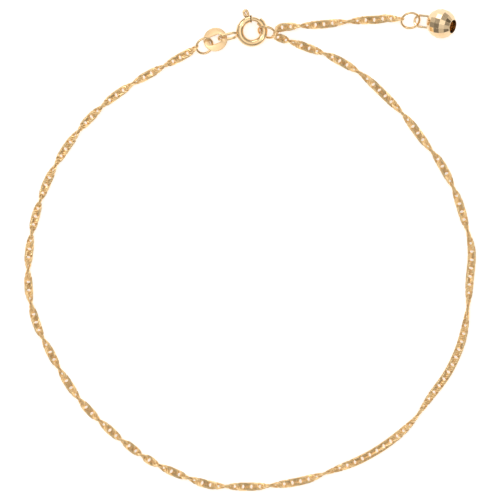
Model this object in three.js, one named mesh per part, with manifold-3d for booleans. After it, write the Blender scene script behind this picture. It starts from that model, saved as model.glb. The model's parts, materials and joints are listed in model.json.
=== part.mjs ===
// A chain anklet lying flat: a fine twisted chain, closed by a spring-ring clasp, with an oval tag
// and a short extender that ends in a faceted ball. Millimetres and degrees, +Z up.
// The anklet lies on z = 0, and the origin is the middle of its outline on that surface.
import * as THREE from "three";
import { mergeVertices } from "three/addons/utils/BufferGeometryUtils.js";
import Module from "manifold-3d";

// Driving dimensions.
const chain = { width: 1.5, sides: 8, stepLength: 3.6 };
const chainRing = { x: -7.52, y: 33.72, z: 1.0, radius: 1.395, wire: 0.42, tilt: 33.6, up: 125.4 };
const tag = {
  x: -5.71, y: 34.76, z: 0.92, radius: 2.0, thickness: 0.3, tilt: 14.7, up: 305.3,
  slotLength: 2.0, slotWidth: 1.35, slotCorner: 0.35, slotTurn: 21.8,
};
const clasp = {
  x: 0.31, y: 36.16, z: 1.2, radius: 2.0, tube: 1.2, bore: 0.88,
  mouthStart: 55, mouthEnd: 90, boreEnd: 157, socketEnd: 50.5,
  leverSlotStart: 102, leverSlotEnd: 153, leverSlotWidth: 0.66,
  collarEnd: 37, collarTube: 1.3,
};
const eyelet = { azimuth: 193, inner: 2.5, outer: 5.58, z: 1.2, endRadius: 0.85, wire: 0.48, lean: 62.2 };
const trigger = {
  tongue: 0.7, tipAngle: 52.5, tailAngle: 115, leverAngle: 108.5, stem: 0.42,
  eyeDistance: 3.22, eyeRadius: 0.38, eyeWire: 0.36,
};
const catchRing = { x: 2.8, y: 35.98, z: 1.44, radius: 1.465, wire: 0.41, tilt: 56.2, up: 71.4 };
const extenderRing = { x: 26.5, y: 37.9, z: 1.11, radius: 1.51, wire: 0.4, tilt: 36.6, up: 102.8 };
const ball = {
  x: 31.57, y: 37.34, z: 2.5, radius: 2.5, wall: 0.4, holeRadius: 1.13, facetsAround: 18, facetRows: 8,
  holeAzimuth: -14.6, holeRise: 27.3,
  bailAzimuth: 172.1, bailDrop: 22.3, bailReach: 4.755, bailRadius: 0.94, bailWire: 0.4,
};
const roundness = { wireSides: 12, ringSteps: 34, tubeSides: 16, arcStep: 6, sliver: 0.006 };

// The main chain's centreline, from the small ring round the ankle to the catch ring.
const mainRoute = [
  { x: -9.5, y: 33.0 }, { x: -11.4, y: 31.9 }, { x: -15.8, y: 29.5 }, { x: -20.1, y: 27.0 },
  { x: -24.1, y: 24.0 }, { x: -27.6, y: 20.5 }, { x: -30.6, y: 16.5 }, { x: -33.1, y: 12.1 },
  { x: -34.9, y: 7.4 }, { x: -36.1, y: 2.5 }, { x: -36.65, y: -2.6 }, { x: -36.4, y: -7.7 },
  { x: -35.1, y: -12.6 }, { x: -32.9, y: -17.1 }, { x: -30.4, y: -21.5 }, { x: -27.5, y: -25.5 },
  { x: -24.0, y: -29.0 }, { x: -20.2, y: -32.2 }, { x: -16.0, y: -35.1 }, { x: -11.4, y: -37.2 },
  { x: -6.6, y: -38.8 }, { x: -1.4, y: -39.1 }, { x: 3.7, y: -38.9 }, { x: 8.7, y: -38.1 },
  { x: 13.5, y: -36.5 }, { x: 18.3, y: -34.6 }, { x: 22.8, y: -31.9 }, { x: 26.7, y: -28.5 },
  { x: 29.8, y: -24.3 }, { x: 32.8, y: -20.1 }, { x: 34.9, y: -15.3 }, { x: 35.9, y: -10.2 },
  { x: 36.3, y: -5.1 }, { x: 36.6, y: 0.0 }, { x: 35.4, y: 5.0 }, { x: 33.8, y: 9.8 },
  { x: 31.5, y: 14.3 }, { x: 28.5, y: 18.3 }, { x: 25.5, y: 22.2 }, { x: 22.0, y: 25.8 },
  { x: 18.2, y: 29.2 }, { x: 13.7, y: 31.8 }, { x: 9.6, y: 33.4 }, { x: 5.2, y: 34.95 },
];

// The extender's centreline, from the catch ring to its own end ring.
const extenderRoute = [
  { x: 5.2, y: 36.75 }, { x: 8.7, y: 37.05 }, { x: 11.7, y: 37.25 }, { x: 14.3, y: 37.55 },
  { x: 17.0, y: 37.8 }, { x: 19.4, y: 38.0 }, { x: 21.0, y: 38.05 }, { x: 22.6, y: 38.3 },
  { x: 24.1, y: 38.15 },
];

const wasm = await Module();
wasm.setup();

const radians = THREE.MathUtils.degToRad;
const gold = (color, roughness) => new THREE.MeshStandardMaterial({ color, roughness, metalness: 1 });

// A closed three.js geometry as a solid that can be joined and cut.
function solidOf(geometry) {
  const bare = geometry.clone();
  bare.deleteAttribute("normal");
  bare.deleteAttribute("uv");
  const merged = mergeVertices(bare);
  const vertProperties = merged.attributes.position.array;
  return new wasm.Manifold(new wasm.Mesh({ numProp: 3, vertProperties, triVerts: merged.index.array }));
}

// The solid's surface as a three.js geometry again, without the slivers that cutting leaves.
function geometryOf(solid) {
  const { vertProperties, triVerts } = solid.simplify(roundness.sliver).getMesh();
  const geometry = new THREE.BufferGeometry();
  geometry.setAttribute("position", new THREE.BufferAttribute(vertProperties, 3));
  geometry.setIndex(new THREE.BufferAttribute(triVerts, 1));
  geometry.computeVertexNormals();
  return geometry;
}

function namedMesh(name, geometry, material) {
  const mesh = new THREE.Mesh(geometry, material);
  mesh.name = name;
  return mesh;
}

// A flat-bottomed polygon whose opposite sides are `width` apart.
function polygonShape(width, sides) {
  const corner = width / 2 / Math.cos(Math.PI / sides);
  const corners = Array.from({ length: sides }, (_, i) => {
    const angle = ((i + 0.5) * 2 * Math.PI) / sides;
    return new THREE.Vector2(corner * Math.cos(angle), corner * Math.sin(angle));
  });
  return new THREE.Shape(corners);
}

// A plain tube of the chain's outer size along its route, lying on z = 0.
function chainGeometry(route) {
  const points = route.map(({ x, y }) => new THREE.Vector3(x, y, chain.width / 2));
  const path = new THREE.CatmullRomCurve3(points, false, "centripetal");
  const steps = Math.round(path.getLength() / chain.stepLength);
  return new THREE.ExtrudeGeometry(polygonShape(chain.width, chain.sides), { steps, extrudePath: path });
}

// An arc about the Z axis, as a path to extrude along.
class ArcPath extends THREE.Curve {
  constructor(radius, from, to) {
    super();
    Object.assign(this, { radius, from, to });
  }
  getPoint(t, target = new THREE.Vector3()) {
    const angle = radians(this.from + (this.to - this.from) * t);
    return target.set(this.radius * Math.cos(angle), this.radius * Math.sin(angle), 0);
  }
}

function arcTube(diameter, from, to) {
  const steps = Math.max(1, Math.round((to - from) / roundness.arcStep));
  const extrudePath = new ArcPath(clasp.radius, from, to);
  const section = polygonShape(diameter, roundness.tubeSides);
  return solidOf(new THREE.ExtrudeGeometry(section, { steps, extrudePath }));
}

// A closed wire loop in the XY plane: two half rings joined by straight sides along X.
function wireLoop(radius, straight, wire) {
  const loop = new THREE.TorusGeometry(radius, wire / 2, roundness.wireSides, roundness.ringSteps);
  const position = loop.attributes.position;
  for (let i = 0; i < position.count; i += 1) {
    position.setX(i, position.getX(i) + (Math.sign(position.getX(i)) * straight) / 2);
  }
  return loop;
}

// Turns a flat thing about Z, then raises its side that faces `up` by `tilt`.
function tilted({ turn = 0, tilt, up }) {
  const axis = new THREE.Vector3(Math.sin(radians(up)), -Math.cos(radians(up)), 0);
  const raise = new THREE.Quaternion().setFromAxisAngle(axis, radians(tilt));
  const spin = new THREE.Quaternion().setFromAxisAngle(new THREE.Vector3(0, 0, 1), radians(turn));
  return raise.multiply(spin);
}

function jumpRing(name, ring) {
  const mesh = namedMesh(name, wireLoop(ring.radius, 0, ring.wire), gold(0xe3bd78, 0.22));
  mesh.quaternion.copy(tilted(ring));
  mesh.position.set(ring.x, ring.y, ring.z);
  return mesh;
}

// A round plate with a rounded rectangular slot.
function buildTag() {
  const outline = new THREE.Shape().absarc(0, 0, tag.radius, 0, 2 * Math.PI);
  const halfLength = tag.slotLength / 2;
  const halfWidth = tag.slotWidth / 2;
  const corner = tag.slotCorner;
  const slot = new THREE.Path();
  slot.absarc(halfLength - corner, halfWidth - corner, corner, 0, Math.PI / 2);
  slot.absarc(corner - halfLength, halfWidth - corner, corner, Math.PI / 2, Math.PI);
  slot.absarc(corner - halfLength, corner - halfWidth, corner, Math.PI, 1.5 * Math.PI);
  slot.absarc(halfLength - corner, corner - halfWidth, corner, 1.5 * Math.PI, 2 * Math.PI);
  slot.closePath();
  outline.holes.push(slot);
  const depth = tag.thickness;
  const plate = new THREE.ExtrudeGeometry(outline, { depth, bevelEnabled: false, curveSegments: 24 });
  plate.translate(0, 0, -depth / 2);
  const mesh = namedMesh("tag", plate, gold(0xf0d3a0, 0.5));
  mesh.quaternion.copy(tilted({ turn: tag.slotTurn, tilt: tag.tilt, up: tag.up }));
  mesh.position.set(tag.x, tag.y, tag.z);
  return mesh;
}

// The slot in the tube's outer wall that the lever's stem slides along.
function leverSlot() {
  const inner = clasp.radius;
  const outer = clasp.radius + clasp.tube;
  const from = radians(clasp.leverSlotStart);
  const to = radians(clasp.leverSlotEnd);
  const sector = new THREE.Shape();
  sector.absarc(0, 0, outer, from, to, false);
  sector.absarc(0, 0, inner, to, from, true);
  sector.closePath();
  const depth = clasp.leverSlotWidth;
  const cut = new THREE.ExtrudeGeometry(sector, { depth, bevelEnabled: false, curveSegments: 10 });
  cut.translate(0, 0, -depth / 2);
  return solidOf(cut);
}

// The fixed eyelet, an oval loop that stands almost on edge and is soldered to the ring.
function eyeletSolid() {
  const straight = eyelet.outer - eyelet.inner - 2 * eyelet.endRadius;
  const loop = wireLoop(eyelet.endRadius, straight, eyelet.wire);
  loop.applyQuaternion(tilted({ turn: eyelet.azimuth, tilt: eyelet.lean, up: eyelet.azimuth - 90 }));
  const middle = (eyelet.inner + eyelet.outer) / 2;
  const azimuth = radians(eyelet.azimuth);
  loop.translate(middle * Math.cos(azimuth), middle * Math.sin(azimuth), eyelet.z - clasp.z);
  return solidOf(loop);
}

// The spring ring: a hollow tube with an open mouth, its collar, its lever slot and the eyelet.
function claspBody() {
  const overrun = 1;
  const tube = arcTube(clasp.tube, clasp.mouthEnd, 360 + clasp.mouthStart);
  const collar = arcTube(clasp.collarTube, clasp.collarEnd, clasp.mouthStart);
  const bore = arcTube(clasp.bore, clasp.mouthEnd - overrun, clasp.boreEnd);
  const socket = arcTube(clasp.bore, clasp.socketEnd, clasp.mouthStart + overrun);
  const solid = tube.add(collar).add(eyeletSolid()).subtract(bore).subtract(socket).subtract(leverSlot());
  const mesh = namedMesh("clasp_body", geometryOf(solid), gold(0xe6c07c, 0.18));
  mesh.position.set(clasp.x, clasp.y, clasp.z);
  return mesh;
}

// The sprung tongue that closes the mouth, with a stem and a wire eye to pull it back by.
function claspTrigger() {
  const tongue = arcTube(trigger.tongue, trigger.tipAngle, trigger.tailAngle);
  const stemEnd = trigger.eyeDistance - trigger.eyeRadius;
  const stemLength = stemEnd - clasp.radius;
  const stemRadius = trigger.stem / 2;
  const stem = new THREE.CylinderGeometry(stemRadius, stemRadius, stemLength, roundness.wireSides);
  stem.translate(0, clasp.radius + stemLength / 2, 0);
  const eye = wireLoop(trigger.eyeRadius, 0, trigger.eyeWire);
  eye.translate(0, trigger.eyeDistance, 0);
  const turn = radians(trigger.leverAngle - 90);
  const lever = solidOf(stem.rotateZ(turn)).add(solidOf(eye.rotateZ(turn)));
  const mesh = namedMesh("clasp_trigger", geometryOf(tongue.add(lever)), gold(0xe9c88a, 0.2));
  mesh.position.set(clasp.x, clasp.y, clasp.z);
  return mesh;
}

// The ball's own axis is Z, with its hole at the top. Rows of flat facets run round it.
function ballProfile() {
  const holeAngle = Math.asin(ball.holeRadius / ball.radius);
  const rowAngle = (Math.PI - holeAngle) / ball.facetRows;
  const outside = Array.from({ length: ball.facetRows + 1 }, (_, row) => {
    const angle = Math.PI - row * rowAngle;
    return new THREE.Vector2(ball.radius * Math.sin(angle), ball.radius * Math.cos(angle));
  });
  outside[0].x = 0; // exactly on the axis
  return [...outside, new THREE.Vector2(0, ball.radius * Math.cos(holeAngle))];
}

// The space inside: a round hollow and the straight hole that opens it.
function ballHollow() {
  const hollow = new THREE.SphereGeometry(ball.radius - ball.wall, 20, 12);
  const hole = new THREE.CylinderGeometry(ball.holeRadius, ball.holeRadius, ball.radius, 24);
  hole.translate(0, ball.radius / 2 + ball.wall, 0);
  return solidOf(hollow).add(solidOf(hole));
}

// The wire bail, a loop whose inner end runs into the ball's wall.
function bailSolid() {
  const inside = ball.radius - ball.wall;
  const straight = ball.bailReach - inside - ball.bailRadius;
  const loop = wireLoop(ball.bailRadius, straight, ball.bailWire);
  loop.translate(ball.bailReach - ball.bailRadius - straight / 2, 0, 0);
  const turn = ball.bailAzimuth;
  loop.applyQuaternion(tilted({ turn, tilt: -ball.bailDrop, up: ball.bailAzimuth }));
  return solidOf(loop);
}

function endBall() {
  const rise = radians(ball.holeRise);
  const azimuth = radians(ball.holeAzimuth);
  const holeWay = new THREE.Vector3(
    Math.cos(rise) * Math.cos(azimuth), Math.cos(rise) * Math.sin(azimuth), Math.sin(rise),
  );
  const turn = new THREE.Quaternion().setFromUnitVectors(new THREE.Vector3(0, 1, 0), holeWay);
  const turned = (solid) => solidOf(geometryOf(solid).applyQuaternion(turn));
  const outside = turned(solidOf(new THREE.LatheGeometry(ballProfile(), ball.facetsAround)));
  const solid = outside.add(bailSolid()).subtract(turned(ballHollow()));
  const mesh = namedMesh("end_ball", geometryOf(solid), gold(0xe2bb74, 0.12));
  mesh.material.flatShading = true;
  mesh.position.set(ball.x, ball.y, ball.z);
  return mesh;
}

function buildAnklet() {
  const anklet = new THREE.Group();
  anklet.add(
    namedMesh("main_chain", chainGeometry(mainRoute), gold(0xdfb66c, 0.3)),
    namedMesh("extender_chain", chainGeometry(extenderRoute), gold(0xdfb66c, 0.3)),
    jumpRing("chain_ring", chainRing),
    buildTag(),
    claspBody(),
    claspTrigger(),
    jumpRing("catch_ring", catchRing),
    jumpRing("extender_ring", extenderRing),
    endBall(),
  );
  return anklet;
}

export default buildAnklet();
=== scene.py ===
# Chain anklet: the fine surfaces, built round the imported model.
# Pieces are modelled in millimetres at their own centre, then set in place in metres.
import json
import math
import bpy
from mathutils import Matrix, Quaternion, Vector


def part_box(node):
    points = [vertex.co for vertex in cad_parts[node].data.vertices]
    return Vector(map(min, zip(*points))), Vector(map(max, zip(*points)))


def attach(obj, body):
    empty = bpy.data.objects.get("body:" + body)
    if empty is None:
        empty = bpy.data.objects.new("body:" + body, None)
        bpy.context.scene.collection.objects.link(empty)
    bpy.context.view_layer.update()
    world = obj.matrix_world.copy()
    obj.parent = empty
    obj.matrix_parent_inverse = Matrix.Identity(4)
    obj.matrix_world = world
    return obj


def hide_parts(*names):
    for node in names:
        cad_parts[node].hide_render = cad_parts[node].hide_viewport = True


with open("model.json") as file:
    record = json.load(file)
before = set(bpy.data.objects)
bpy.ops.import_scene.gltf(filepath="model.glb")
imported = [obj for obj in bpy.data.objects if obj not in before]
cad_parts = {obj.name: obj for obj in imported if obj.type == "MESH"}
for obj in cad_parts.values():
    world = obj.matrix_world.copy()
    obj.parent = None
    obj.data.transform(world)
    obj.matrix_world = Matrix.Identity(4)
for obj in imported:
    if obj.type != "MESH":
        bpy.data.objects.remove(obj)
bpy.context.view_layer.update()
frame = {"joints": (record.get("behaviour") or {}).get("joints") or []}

mm = 0.001
bpy.ops.object.select_all(action="DESELECT")


# Small helpers.

def boxMiddle(node):
    low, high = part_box(node)
    return (low + high) / 2 / mm


def linearColour(hexCode):
    channels = [int(hexCode[i:i + 2], 16) / 255 for i in (1, 3, 5)]
    return [c / 12.92 if c <= 0.04045 else ((c + 0.055) / 1.055) ** 2.4 for c in channels] + [1.0]


def addNode(tree, kind, inputs=None, **settings):
    node = tree.nodes.new(kind)
    for name, value in settings.items():
        setattr(node, name, value)
    for name, value in (inputs or {}).items():
        if isinstance(value, bpy.types.NodeSocket):
            tree.links.new(value, node.inputs[name])
        else:
            node.inputs[name].default_value = value
    return node


def newest(name):
    piece = bpy.context.object
    piece.name = piece.data.name = name
    return piece


def useOnly(piece):
    bpy.ops.object.select_all(action="DESELECT")
    piece.select_set(True)
    bpy.context.view_layer.objects.active = piece


def editVerts(piece, test):  # edit mode, with the points that pass the test selected
    useOnly(piece)
    bpy.ops.object.mode_set(mode="EDIT")
    bpy.ops.mesh.select_mode(type="VERT")
    bpy.ops.mesh.select_all(action="DESELECT")
    bpy.ops.object.mode_set(mode="OBJECT")
    for vert in piece.data.vertices:
        vert.select = test(vert.co)
    bpy.ops.object.mode_set(mode="EDIT")


def leaveEdit():
    bpy.ops.object.mode_set(mode="OBJECT")


def shapeWith(piece, kind, **settings):
    useOnly(piece)
    modifier = piece.modifiers.new(kind.lower(), kind)
    for name, value in settings.items():
        setattr(modifier, name, value)
    bpy.ops.object.modifier_apply(modifier=modifier.name)


def combine(piece, other, operation):  # joins the other solid to the piece, or cuts it away
    shapeWith(piece, "BOOLEAN", object=other, operation=operation, solver="EXACT")
    bpy.data.objects.remove(other)


def tiltedTurn(turn=0, tilt=0, up=0):  # a turn about Z, then the side that faces up is raised
    axis = (math.sin(math.radians(up)), -math.cos(math.radians(up)), 0)
    return Quaternion(axis, math.radians(tilt)) @ Quaternion((0, 0, 1), math.radians(turn))


def setDown(piece, place, turn=None):  # puts a piece modelled at the origin where it belongs
    useOnly(piece)
    piece.rotation_mode = "QUATERNION"
    piece.rotation_quaternion = turn or Quaternion()
    piece.location = place
    bpy.ops.object.transform_apply(location=True, rotation=True, scale=True)


def handOver(piece, body, node, material, smoothAngle=40):
    useOnly(piece)
    piece.scale = (mm, mm, mm)
    bpy.ops.object.transform_apply(location=True, rotation=True, scale=True)
    bpy.ops.object.mode_set(mode="EDIT")
    bpy.ops.mesh.select_all(action="SELECT")
    bpy.ops.mesh.normals_make_consistent(inside=False)
    leaveEdit()
    bpy.ops.object.shade_smooth_by_angle(angle=math.radians(smoothAngle))
    piece.data.materials.clear()
    piece.data.materials.append(material)
    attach(piece, body)
    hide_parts(node)
    print("made", piece.name, len(piece.data.polygons), "faces")


# Camera: straight above, with a long lens.

cameraLook = {"height": 1.5, "frameWidth": 82.65 * mm, "sensor": 36.0}


def makeCamera():
    bpy.ops.object.camera_add(location=(0, 0, cameraLook["height"]))
    camera = newest("camera")
    camera.data.sensor_width = cameraLook["sensor"]
    camera.data.lens = cameraLook["sensor"] * cameraLook["height"] / cameraLook["frameWidth"]
    camera.data.clip_start = 0.05
    bpy.context.scene.camera = camera


# Materials.

def goldMaterial(name, look):
    # Solid gold has no paint: its colour is all in its reflection, so the tint and the polish make it.
    material = bpy.data.materials.new(name)
    material.use_nodes = True
    tree = material.node_tree
    shader = tree.nodes["Principled BSDF"]
    shader.inputs["Metallic"].default_value = 1.0
    place = addNode(tree, "ShaderNodeTexCoord").outputs["Object"]
    stretch = addNode(tree, "ShaderNodeMapping", {"Vector": place, "Scale": look.get("stretch", (1, 1, 1)),
                                                  "Rotation": (0, 0, math.radians(look.get("grainTurn", 0)))})
    cloud = addNode(tree, "ShaderNodeTexNoise", {"Vector": place, "Scale": 1 / (look["patch"] * mm),
                                                 "Detail": 2.0})
    grain = addNode(tree, "ShaderNodeTexNoise", {"Vector": stretch.outputs["Vector"],
                                                 "Scale": 1 / (look["grain"] * mm), "Detail": 3.0})
    tint = addNode(tree, "ShaderNodeMix", {"Factor": cloud.outputs["Fac"]}, data_type="RGBA")
    tint.inputs[6].default_value = linearColour(look["deep"])
    tint.inputs[7].default_value = linearColour(look["pale"])
    polish = addNode(tree, "ShaderNodeMapRange", {"Value": grain.outputs["Fac"], "From Min": 0.3,
                                                  "From Max": 0.7, "To Min": look["smooth"],
                                                  "To Max": look["rough"]})
    marks = addNode(tree, "ShaderNodeBump", {"Height": grain.outputs["Fac"], "Strength": look["bump"],
                                             "Distance": look["depth"] * mm})
    tree.links.new(tint.outputs[2], shader.inputs["Base Color"])
    tree.links.new(polish.outputs["Result"], shader.inputs["Roughness"])
    tree.links.new(marks.outputs["Normal"], shader.inputs["Normal"])
    return material


# Drawn and polished 14k wire: a warm pale mirror with faint draw marks.
polishedLook = {"deep": "#E6C08A", "pale": "#F2D7AE", "patch": 1.6, "grain": 0.12, "smooth": 0.1,
                "rough": 0.2, "bump": 0.12, "depth": 0.004}
# Diamond-cut links: small bright cuts beside softer wire, so the tint varies from link to link.
cutLook = {"deep": "#E8BE7E", "pale": "#F8E0B4", "patch": 0.5, "grain": 0.1, "smooth": 0.2, "rough": 0.4,
           "bump": 0.2, "depth": 0.006}
# Satin-brushed plate: fine scratches one way, which spread the light into a soft sheen. The real grit
# is about 0.01 mm apart and is drawn coarser, so that it shows.
satinLook = {"deep": "#DDBA8B", "pale": "#EACDA3", "patch": 1.2, "grain": 0.9, "smooth": 0.3, "rough": 0.44,
             "bump": 0.35, "depth": 0.01, "stretch": (1.0, 9.0, 1.0), "grainTurn": 52}
# Painted shade: a dark brown ring set in the saw-cut at the clasp's mouth, standing in for the shadow in that
# gap.
mouthShadeLook = {"deep": "#3A2412", "pale": "#5A3A1E", "patch": 0.4, "grain": 0.1, "smooth": 0.6, "rough": 0.8,
            "bump": 0.1, "depth": 0.004}
# Milled and polished facets: clear flat mirrors, each a single tone.
facetLook = {"deep": "#E8C79A", "pale": "#F0D8B2", "patch": 3.0, "grain": 0.3, "smooth": 0.04, "rough": 0.09,
             "bump": 0.03, "depth": 0.002}


# The chain.

chainLook = {"halfLength": 0.68, "halfWidth": 0.58, "wire": 0.31, "pitch": 1.36, "threeStep": 0.34,
             "slope": 0.42, "cutDepth": 0.05, "ringWire": 0.19, "endPlay": 0.02, "roundSteps": 14,
             "wireSides": 6, "height": 0.75, "twistHand": -1}

# The main chain's line, from the small ring round the ankle to the catch ring.
mainRoute = [
    (-9.5, 33.0), (-11.4, 31.9), (-15.8, 29.5), (-20.1, 27.0), (-24.1, 24.0), (-27.6, 20.5), (-30.6, 16.5),
    (-33.1, 12.1), (-34.9, 7.4), (-36.1, 2.5), (-36.65, -2.6), (-36.4, -7.7), (-35.1, -12.6), (-32.9, -17.1),
    (-30.4, -21.5), (-27.5, -25.5), (-24.0, -29.0), (-20.2, -32.2), (-16.0, -35.1), (-11.4, -37.2),
    (-6.6, -38.8), (-1.4, -39.1), (3.7, -38.9), (8.7, -38.1), (13.5, -36.5), (18.3, -34.6), (22.8, -31.9),
    (26.7, -28.5), (29.8, -24.3), (32.8, -20.1), (34.9, -15.3), (35.9, -10.2), (36.3, -5.1), (36.6, 0.0),
    (35.4, 5.0), (33.8, 9.8), (31.5, 14.3), (28.5, 18.3), (25.5, 22.2), (22.0, 25.8), (18.2, 29.2),
    (13.7, 31.8), (9.6, 33.4), (5.2, 34.95)]

# How far along the main chain it stands edge-on. It turns half round between one place and the next.
mainEdgeOn = [6.4, 12.3, 18.7, 24.2, 31.1, 37.5, 43.1, 49.1, 54.7, 60.9, 66.5, 72.5, 77.4, 82.3, 86.5, 89.7,
              95.1, 101.3, 108.7, 117.8, 136.4, 156.5, 169.2, 176.8, 183.7, 191.6, 201.6, 208.1, 214.2]

extenderRoute = [(5.2, 36.75), (8.7, 37.05), (11.7, 37.25), (14.3, 37.55), (17.0, 37.8), (19.4, 38.0),
                 (21.0, 38.05), (22.6, 38.3), (24.1, 38.15)]
extenderEdgeOn = [5.0, 12.9]


def ringPlace(node, ring, angle):  # a point on a jump ring's wire, at an angle from its level diameter
    level = Vector((math.sin(math.radians(ring["up"])), -math.cos(math.radians(ring["up"])), 0))
    uphill = Vector((-level.y, level.x, 0)) * math.cos(math.radians(ring["tilt"]))
    uphill.z = math.sin(math.radians(ring["tilt"]))
    turn = math.radians(angle)
    return boxMiddle(node) + ring["radius"] * (math.cos(turn) * level + math.sin(turn) * uphill)


def smoothLine(points, perSpan=18):  # a Catmull-Rom curve through the points
    ends = [2 * points[0] - points[1]] + points + [2 * points[-1] - points[-2]]
    line = []
    for a, b, c, d in zip(ends, ends[1:], ends[2:], ends[3:]):
        for step in range(perSpan):
            t = step / perSpan
            line.append(0.5 * (2 * b + (c - a) * t + (2 * a - 5 * b + 4 * c - d) * t ** 2
                               + (3 * b - a - 3 * c + d) * t ** 3))
    return line + [points[-1]]


def twistAt(along, edgeOn):  # a quarter turn at each edge-on place, and slower while the flat shows
    spans = list(zip(edgeOn, edgeOn[1:]))
    index = next((i for i, span in enumerate(spans) if along < span[1]), len(spans) - 1)
    low, high = spans[index]
    t = min(1, (along - low) / (high - low))
    linger = min(0.85, 0.3 + 0.03 * (high - low))
    eased = t + linger * math.sin(2 * math.pi * t) / (2 * math.pi)
    return math.pi * (0.5 + index + eased)


def guideCurve(name, line, edgeOn):
    curve = bpy.data.curves.new(name, "CURVE")
    curve.dimensions = "3D"
    curve.twist_mode = "Z_UP"
    curve.use_path = True
    spline = curve.splines.new("POLY")
    spline.points.add(len(line) - 1)
    along = 0.0
    for i, point in enumerate(line):
        along += (point - line[i - 1]).length if i else 0
        spline.points[i].co = (*point, 1)
        spline.points[i].tilt = chainLook["twistHand"] * twistAt(along, edgeOn)
    guide = bpy.data.objects.new(name, curve)
    bpy.context.scene.collection.objects.link(guide)
    return guide


def lineLength(line):
    return sum((b - a).length for a, b in zip(line, line[1:]))


def chainLink(name):
    link = chainLook
    bpy.ops.mesh.primitive_torus_add(major_segments=link["roundSteps"], minor_segments=link["wireSides"],
                                     major_radius=link["halfWidth"], minor_radius=link["wire"] / 2)
    piece = newest(name)
    longer = link["halfLength"] - link["halfWidth"]
    for side in (-1, 1):  # draws the ring out into an oval with straight sides
        editVerts(piece, lambda co: co.x * side > 0.01)
        bpy.ops.transform.translate(value=(side * longer, 0, 0))
        leaveEdit()
    cut = link["wire"] / 2 - link["cutDepth"]
    for side in (-1, 1):  # the diamond cut shaves the outside flat, above and below
        editVerts(piece, lambda co: co.z * side > cut)
        bpy.ops.transform.resize(value=(1, 1, 0), center_override=(0, 0, side * cut))
        leaveEdit()
    length = 2 * link["halfLength"] + link["wire"]
    angle = link["slope"] / link["halfWidth"] * length
    shapeWith(piece, "SIMPLE_DEFORM", deform_method="TWIST", deform_axis="X", angle=angle)
    return piece


def chainPiece(name, node, start, end, route, edgeOn):
    height = chainLook["height"]
    points = [start] + [Vector((x, y, height)) for x, y in route] + [end]
    line = smoothLine(points)
    total = lineLength(line)
    firstCentre = chainLook["halfLength"] - chainLook["wire"] / 2
    firstCentre -= chainLook["ringWire"] + chainLook["endPlay"]
    span = total - 2 * firstCentre - 2 * chainLook["threeStep"]
    threes = round(span / chainLook["pitch"]) + 1
    pitch = span / (threes - 1)
    piece = chainLink(name)
    setDown(piece, (firstCentre, 0, 0))
    shapeWith(piece, "ARRAY", count=3, use_relative_offset=False, use_constant_offset=True,
              constant_offset_displace=(chainLook["threeStep"], 0, 0))
    shapeWith(piece, "ARRAY", count=threes, use_relative_offset=False, use_constant_offset=True,
              constant_offset_displace=(pitch, 0, 0))
    guide = guideCurve(name + "_line", line, [0.0] + edgeOn + [total])
    shapeWith(piece, "CURVE", object=guide, deform_axis="POS_X")
    bpy.data.objects.remove(guide)
    handOver(piece, "anklet", node, cutGold, 35)
    print(name, 3 * threes, "links,", round(total, 1), "mm")


# Jump rings.

chainRing = {"radius": 1.395, "wire": 0.42, "tilt": 33.6, "up": 125.4, "seam": 170}
catchRing = {"radius": 1.465, "wire": 0.41, "tilt": 56.2, "up": 71.4, "seam": 60}
extenderRing = {"radius": 1.51, "wire": 0.4, "tilt": 36.6, "up": 102.8, "seam": 250}


def jumpRing(name, node, ring):
    bpy.ops.mesh.primitive_torus_add(major_segments=72, minor_segments=18, major_radius=ring["radius"],
                                     minor_radius=ring["wire"] / 2)
    piece = newest(name)
    seam = math.radians(ring["seam"])
    joint = Vector((math.cos(seam), math.sin(seam), 0)) * ring["radius"]
    for reach, swell in ((0.34, 1.1), (0.2, 1.12)):  # the soldered seam is a slight swelling
        editVerts(piece, lambda co: (co - joint).length < reach)
        bpy.ops.transform.resize(value=(swell,) * 3, center_override=joint)
        leaveEdit()
    setDown(piece, boxMiddle(node), tiltedTurn(0, ring["tilt"], ring["up"]))
    handOver(piece, "anklet", node, polishedGold, 60)


# The tag.

tagLook = {"radius": 2.0, "thickness": 0.3, "slot": (2.0, 1.35), "corner": 0.35, "turn": 21.8,
           "tilt": 14.7, "up": 305.3, "edge": 0.06}


def tagPiece():
    bpy.ops.mesh.primitive_cylinder_add(vertices=96, radius=tagLook["radius"], depth=tagLook["thickness"])
    piece = newest("tag_plate")
    bpy.ops.mesh.primitive_cube_add(size=1)
    cutter = newest("slot_cutter")
    cutter.scale = (*tagLook["slot"], 1)
    bpy.ops.object.transform_apply(scale=True)
    bpy.ops.object.mode_set(mode="EDIT")
    bpy.ops.mesh.select_mode(type="EDGE")
    bpy.ops.mesh.select_all(action="DESELECT")
    leaveEdit()
    for edge in cutter.data.edges:
        low, high = (cutter.data.vertices[i].co for i in edge.vertices)
        edge.select = abs(low.z - high.z) > 0.5
    bpy.ops.object.mode_set(mode="EDIT")
    bpy.ops.mesh.bevel(offset=tagLook["corner"], segments=8)
    leaveEdit()
    combine(piece, cutter, "DIFFERENCE")
    shapeWith(piece, "BEVEL", width=tagLook["edge"], segments=3, limit_method="ANGLE",
              angle_limit=math.radians(50))
    setDown(piece, boxMiddle("tag"), tiltedTurn(tagLook["turn"], tagLook["tilt"], tagLook["up"]))
    handOver(piece, "anklet", "tag", satinGold, 30)


# The clasp.

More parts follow.
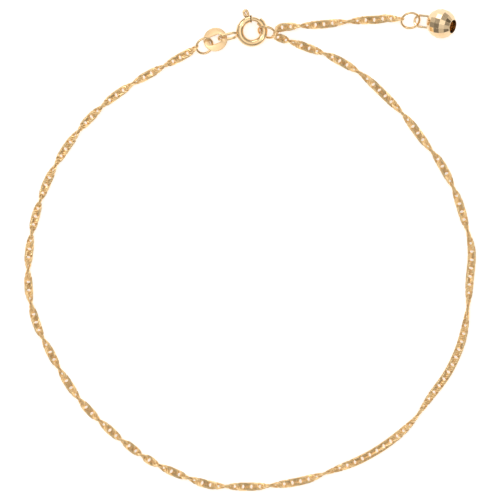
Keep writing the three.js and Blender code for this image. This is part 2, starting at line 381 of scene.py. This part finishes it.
claspLook = {"radius": 2.0, "tube": 0.6, "bore": 0.44, "mouthStart": 55, "mouthEnd": 90,
             "slotStart": 102, "slotEnd": 153, "slotWidth": 0.66, "collarStart": 36, "collarTube": 0.67,
             "lip": (90, 92.5, 0.66), "slit": (92.5, 97, 0.65), "slitReach": 0.8, "mouthShadeTube": 0.56,
             "edge": 0.035}
eyeletLook = {"azimuth": 193, "inner": 2.5, "outer": 5.58, "endRadius": 0.85, "wire": 0.48, "lean": 62.2}
triggerLook = {"tongue": 0.35, "tip": 52.5, "tail": 115, "lever": 108.5, "stem": 0.21,
               "eyeDistance": 3.1, "eyeRadius": 0.3, "eyeWire": 0.46, "eyeStraight": 0.34,
               "tipRound": 0.09}


def spunTube(name, outer, inner, start, end, sides=28):  # a round section swept about Z
    count = max(6, round(abs(end - start) / 3.5))
    bpy.ops.mesh.primitive_circle_add(vertices=sides, radius=outer, fill_type="NOTHING" if inner else "NGON")
    piece = newest(name)
    if inner:
        bpy.ops.object.mode_set(mode="EDIT")
        bpy.ops.mesh.primitive_circle_add(vertices=sides, radius=inner)
        bpy.ops.mesh.select_all(action="SELECT")
        bpy.ops.mesh.bridge_edge_loops()
        leaveEdit()
    stand = Quaternion((0, 0, 1), math.radians(start)) @ Quaternion((1, 0, 0), math.radians(90))
    ahead = math.radians(start)
    middle = Vector((math.cos(ahead), math.sin(ahead), 0)) * claspLook["radius"]
    setDown(piece, middle, stand)
    bpy.ops.object.mode_set(mode="EDIT")
    bpy.ops.mesh.select_all(action="SELECT")
    bpy.ops.mesh.spin(steps=count, angle=math.radians(start - end), center=(0, 0, 0), axis=(0, 0, 1))
    bpy.ops.mesh.select_all(action="SELECT")
    bpy.ops.mesh.normals_make_consistent(inside=False)
    leaveEdit()
    return piece


def stadiumLoop(name, radius, straight, wire):  # a wire ring drawn out along X
    bpy.ops.mesh.primitive_torus_add(major_segments=58, minor_segments=16, major_radius=radius,
                                     minor_radius=wire / 2)
    piece = newest(name)
    for side in (-1, 1):
        editVerts(piece, lambda co: co.x * side > 0)
        bpy.ops.transform.translate(value=(side * straight / 2, 0, 0))
        leaveEdit()
    return piece


def leverSlotCutter():
    look = claspLook
    bpy.ops.mesh.primitive_plane_add(size=1)
    piece = newest("lever_slot")
    piece.scale = (1.2, look["slotWidth"], 1)
    bpy.ops.object.transform_apply(scale=True)
    ahead = math.radians(look["slotStart"])
    stand = Quaternion((0, 0, 1), ahead) @ Quaternion((1, 0, 0), math.radians(90))
    setDown(piece, Vector((math.cos(ahead), math.sin(ahead), 0)) * (look["radius"] + 0.6), stand)
    bpy.ops.object.mode_set(mode="EDIT")
    bpy.ops.mesh.select_all(action="SELECT")
    bpy.ops.mesh.spin(steps=16, angle=math.radians(look["slotStart"] - look["slotEnd"]), center=(0, 0, 0),
                      axis=(0, 0, 1))
    bpy.ops.mesh.select_all(action="SELECT")
    bpy.ops.mesh.normals_make_consistent(inside=False)
    leaveEdit()
    return piece


def claspPiece():
    look = claspLook
    piece = spunTube("clasp_ring", look["tube"], look["bore"], look["mouthEnd"], 360 + look["mouthStart"])
    collar = spunTube("collar", look["collarTube"], look["bore"] + 0.05, look["collarStart"],
                      look["mouthStart"] + 1)
    combine(piece, collar, "UNION")
    combine(piece, leverSlotCutter(), "DIFFERENCE")
    start, end, height = look["lip"]
    combine(piece, spunTube("lip", height, look["bore"] + 0.01, start, end), "UNION")
    start, end, raised = look["slit"]  # a saw-cut just behind the lip, open at the top
    slit = spunTube("slit", look["slitReach"], 0, start, end)
    setDown(slit, (0, 0, raised))
    combine(piece, slit, "DIFFERENCE")
    shapeWith(piece, "BEVEL", width=look["edge"], segments=2, limit_method="ANGLE",
              angle_limit=math.radians(55))
    eye = eyeletLook
    straight = eye["outer"] - eye["inner"] - 2 * eye["endRadius"]
    eyelet = stadiumLoop("eyelet", eye["endRadius"], straight, eye["wire"])
    azimuth = math.radians(eye["azimuth"])
    middle = Vector((math.cos(azimuth), math.sin(azimuth), 0)) * (eye["inner"] + eye["outer"]) / 2
    setDown(eyelet, middle, tiltedTurn(eye["azimuth"], eye["lean"], eye["azimuth"] - 90))
    combine(piece, eyelet, "UNION")
    setDown(piece, claspCentre)
    handOver(piece, "anklet", "clasp_body", polishedGold, 40)
    # A dark brown ring in the saw-cut: painted shade for the shadow at the clasp's mouth.
    seam = spunTube("mouth_painted_shade", look["mouthShadeTube"], look["bore"] - 0.02, start + 0.1, end - 0.1)
    setDown(seam, claspCentre)
    handOver(seam, "anklet", "clasp_body", mouthShade, 40)


def triggerPiece():
    look = triggerLook
    piece = spunTube("trigger_tongue", look["tongue"], 0, look["tip"], look["tail"], 20)
    shapeWith(piece, "BEVEL", width=look["tipRound"], segments=3, limit_method="ANGLE",
              angle_limit=math.radians(60))
    stemEnd = look["eyeDistance"] - look["eyeRadius"]
    lever = math.radians(look["lever"])
    out = Vector((math.cos(lever), math.sin(lever), 0))
    stand = Quaternion((0, 0, 1), lever) @ Quaternion((0, 1, 0), math.radians(90))
    bpy.ops.mesh.primitive_cylinder_add(vertices=20, radius=look["stem"], depth=stemEnd - claspLook["radius"])
    stem = newest("stem")
    setDown(stem, out * (stemEnd + claspLook["radius"]) / 2, stand)
    combine(piece, stem, "UNION")
    eye = stadiumLoop("lever_eye", look["eyeRadius"], look["eyeStraight"], look["eyeWire"])
    setDown(eye, out * look["eyeDistance"], tiltedTurn(look["lever"]))
    combine(piece, eye, "UNION")
    setDown(piece, claspCentre)
    handOver(piece, "trigger", "clasp_trigger", polishedGold, 40)


# The end ball.

ballLook = {"radius": 2.5, "wall": 0.4, "hole": 1.13, "facets": 18, "firstRow": 10.7, "rowStep": 20.3,
            "rows": 9, "azimuth": -14.6, "rise": 27.3, "edge": 0.018, "place": (31.57, 37.34, 2.5)}
bailLook = {"azimuth": 172.1, "drop": 22.3, "reach": 4.755, "radius": 0.94, "wire": 0.4}


def ballPiece():
    look = ballLook
    rows = [look["firstRow"] + look["rowStep"] * row for row in range(look["rows"])]
    heights = [look["radius"] * math.cos(math.radians(row)) for row in rows]
    for index, row in enumerate(rows):
        across = look["radius"] * math.sin(math.radians(row))
        bpy.ops.mesh.primitive_circle_add(vertices=look["facets"], radius=across,
                                          location=(0, 0, heights[index]))
        if index == 0:
            piece = newest("faceted_ball")
            setDown(piece, (0, 0, heights[0]))
            bpy.ops.object.mode_set(mode="EDIT")
    leaveEdit()
    for upper, lower in zip(heights, heights[1:]):
        editVerts(piece, lambda co: min(abs(co.z - upper), abs(co.z - lower)) < 0.001)
        bpy.ops.mesh.bridge_edge_loops()
        leaveEdit()
    for pole in (heights[0], heights[-1]):
        editVerts(piece, lambda co: abs(co.z - pole) < 0.001)
        bpy.ops.mesh.edge_face_add()
        leaveEdit()
    bpy.ops.object.mode_set(mode="EDIT")
    bpy.ops.mesh.select_all(action="SELECT")
    bpy.ops.mesh.normals_make_consistent(inside=False)
    leaveEdit()
    shapeWith(piece, "SOLIDIFY", thickness=look["wall"], offset=-1)
    bpy.ops.mesh.primitive_cylinder_add(vertices=64, radius=look["hole"], depth=2)
    drill = newest("drill")
    setDown(drill, (0, 0, look["radius"]))
    combine(piece, drill, "DIFFERENCE")
    shapeWith(piece, "BEVEL", width=look["edge"], segments=1, limit_method="ANGLE",
              angle_limit=math.radians(8))
    rise, azimuth = math.radians(look["rise"]), math.radians(look["azimuth"])
    holeWay = Vector((math.cos(rise) * math.cos(azimuth), math.cos(rise) * math.sin(azimuth), math.sin(rise)))
    setDown(piece, (0, 0, 0), Vector((0, 0, 1)).rotation_difference(holeWay))
    bail = bailLook
    straight = bail["reach"] - (look["radius"] - look["wall"]) - bail["radius"]
    loop = stadiumLoop("bail", bail["radius"], straight, bail["wire"])
    setDown(loop, (bail["reach"] - bail["radius"] - straight / 2, 0, 0))
    setDown(loop, (0, 0, 0), tiltedTurn(bail["azimuth"], -bail["drop"], bail["azimuth"]))
    combine(piece, loop, "UNION")
    setDown(piece, look["place"])
    handOver(piece, "anklet", "end_ball", facetGold, 6)


# Floor and light.

paperLook = {"size": 3, "tone": 0.93, "rough": 0.9, "glow": 0.45}


def makeStage():
    bpy.ops.mesh.primitive_plane_add(size=paperLook["size"])
    floor = newest("floor")
    paper = bpy.data.materials.new("matt white paper")
    paper.use_nodes = True
    shader = paper.node_tree.nodes["Principled BSDF"]
    shader.inputs["Base Color"].default_value = (*[paperLook["tone"]] * 3, 1)
    shader.inputs["Roughness"].default_value = paperLook["rough"]
    shader.inputs["Emission Color"].default_value = (1, 1, 1, 1)
    shader.inputs["Emission Strength"].default_value = paperLook["glow"]
    floor.data.materials.append(paper)


# Sky brightness by height: 0 is level and 1 is straight up. The dark bands are the studio's black flags.
skyBands = [(0.0, 0.56), (0.14, 0.5), (0.3, 0.17), (0.48, 0.1), (0.6, 0.8), (0.72, 0.15), (0.84, 0.5),
            (0.93, 0.56), (0.97, 1.0), (1.0, 1.0)]


lamps = (("key", (-0.35, 0.3, 0.75), 0.15, 0.55), ("fill", (0.45, -0.25, 0.6), 0.12, 0.25),
         ("back", (-0.2, 0.75, 0.46), 0.36, 1.0))


def makeLight():
    world = bpy.data.worlds.new("studio tent")
    bpy.context.scene.world = world
    world.use_nodes = True
    tree = world.node_tree
    way = addNode(tree, "ShaderNodeTexCoord").outputs["Generated"]
    drift = addNode(tree, "ShaderNodeTexNoise", {"Vector": way, "Scale": 2.6, "Detail": 1.0})
    height = addNode(tree, "ShaderNodeSeparateXYZ", {"Vector": way}).outputs["Z"]
    shift = addNode(tree, "ShaderNodeMath", {0: drift.outputs["Fac"], 1: 0.56, 2: -0.28},
                    operation="MULTIPLY_ADD").outputs[0]
    band = addNode(tree, "ShaderNodeMath", {0: height, 1: shift}, operation="ADD").outputs[0]
    ramp = addNode(tree, "ShaderNodeValToRGB", {"Fac": band})
    ramp.color_ramp.interpolation = "EASE"
    while len(ramp.color_ramp.elements) < len(skyBands):
        ramp.color_ramp.elements.new(0.5)
    for element, (place, level) in zip(ramp.color_ramp.elements, skyBands):
        element.position = place
        element.color = (level, level * 0.98, level * 0.95, 1)
    background = tree.nodes["Background"]
    tree.links.new(ramp.outputs["Color"], background.inputs["Color"])
    background.inputs["Strength"].default_value = 1.6
    for name, place, size, power in lamps:
        bpy.ops.object.light_add(type="AREA", location=place)
        light = newest(name)
        light.data.size = size
        light.data.energy = power
        light.rotation_mode = "QUATERNION"
        light.rotation_quaternion = (-Vector(place)).to_track_quat("-Z", "Y")
    bpy.context.scene.view_settings.view_transform = "Standard"


# Putting it together.

makeCamera()
makeStage()
makeLight()
polishedGold = goldMaterial("polished 14k gold wire", polishedLook)
cutGold = goldMaterial("diamond-cut 14k gold", cutLook)
satinGold = goldMaterial("satin-brushed 14k gold", satinLook)
facetGold = goldMaterial("facet-milled 14k gold", facetLook)
# The next material is painted shade, a dark brown for the shadow in the clasp's mouth.
mouthShade = goldMaterial("painted shade in the clasp mouth", mouthShadeLook)
claspCentre = Vector(frame["joints"][0]["pos_m"]) / mm

jumpRing("chain_jump_ring", "chain_ring", chainRing)
jumpRing("catch_jump_ring", "catch_ring", catchRing)
jumpRing("extender_jump_ring", "extender_ring", extenderRing)
tagPiece()
claspPiece()
triggerPiece()
ballPiece()
chainPiece("chain_links", "main_chain", ringPlace("chain_ring", chainRing, 152),
           ringPlace("catch_ring", catchRing, -18), mainRoute, mainEdgeOn)
chainPiece("extender_links", "extender_chain", ringPlace("catch_ring", catchRing, 30),
           ringPlace("extender_ring", extenderRing, 155), extenderRoute, extenderEdgeOn)
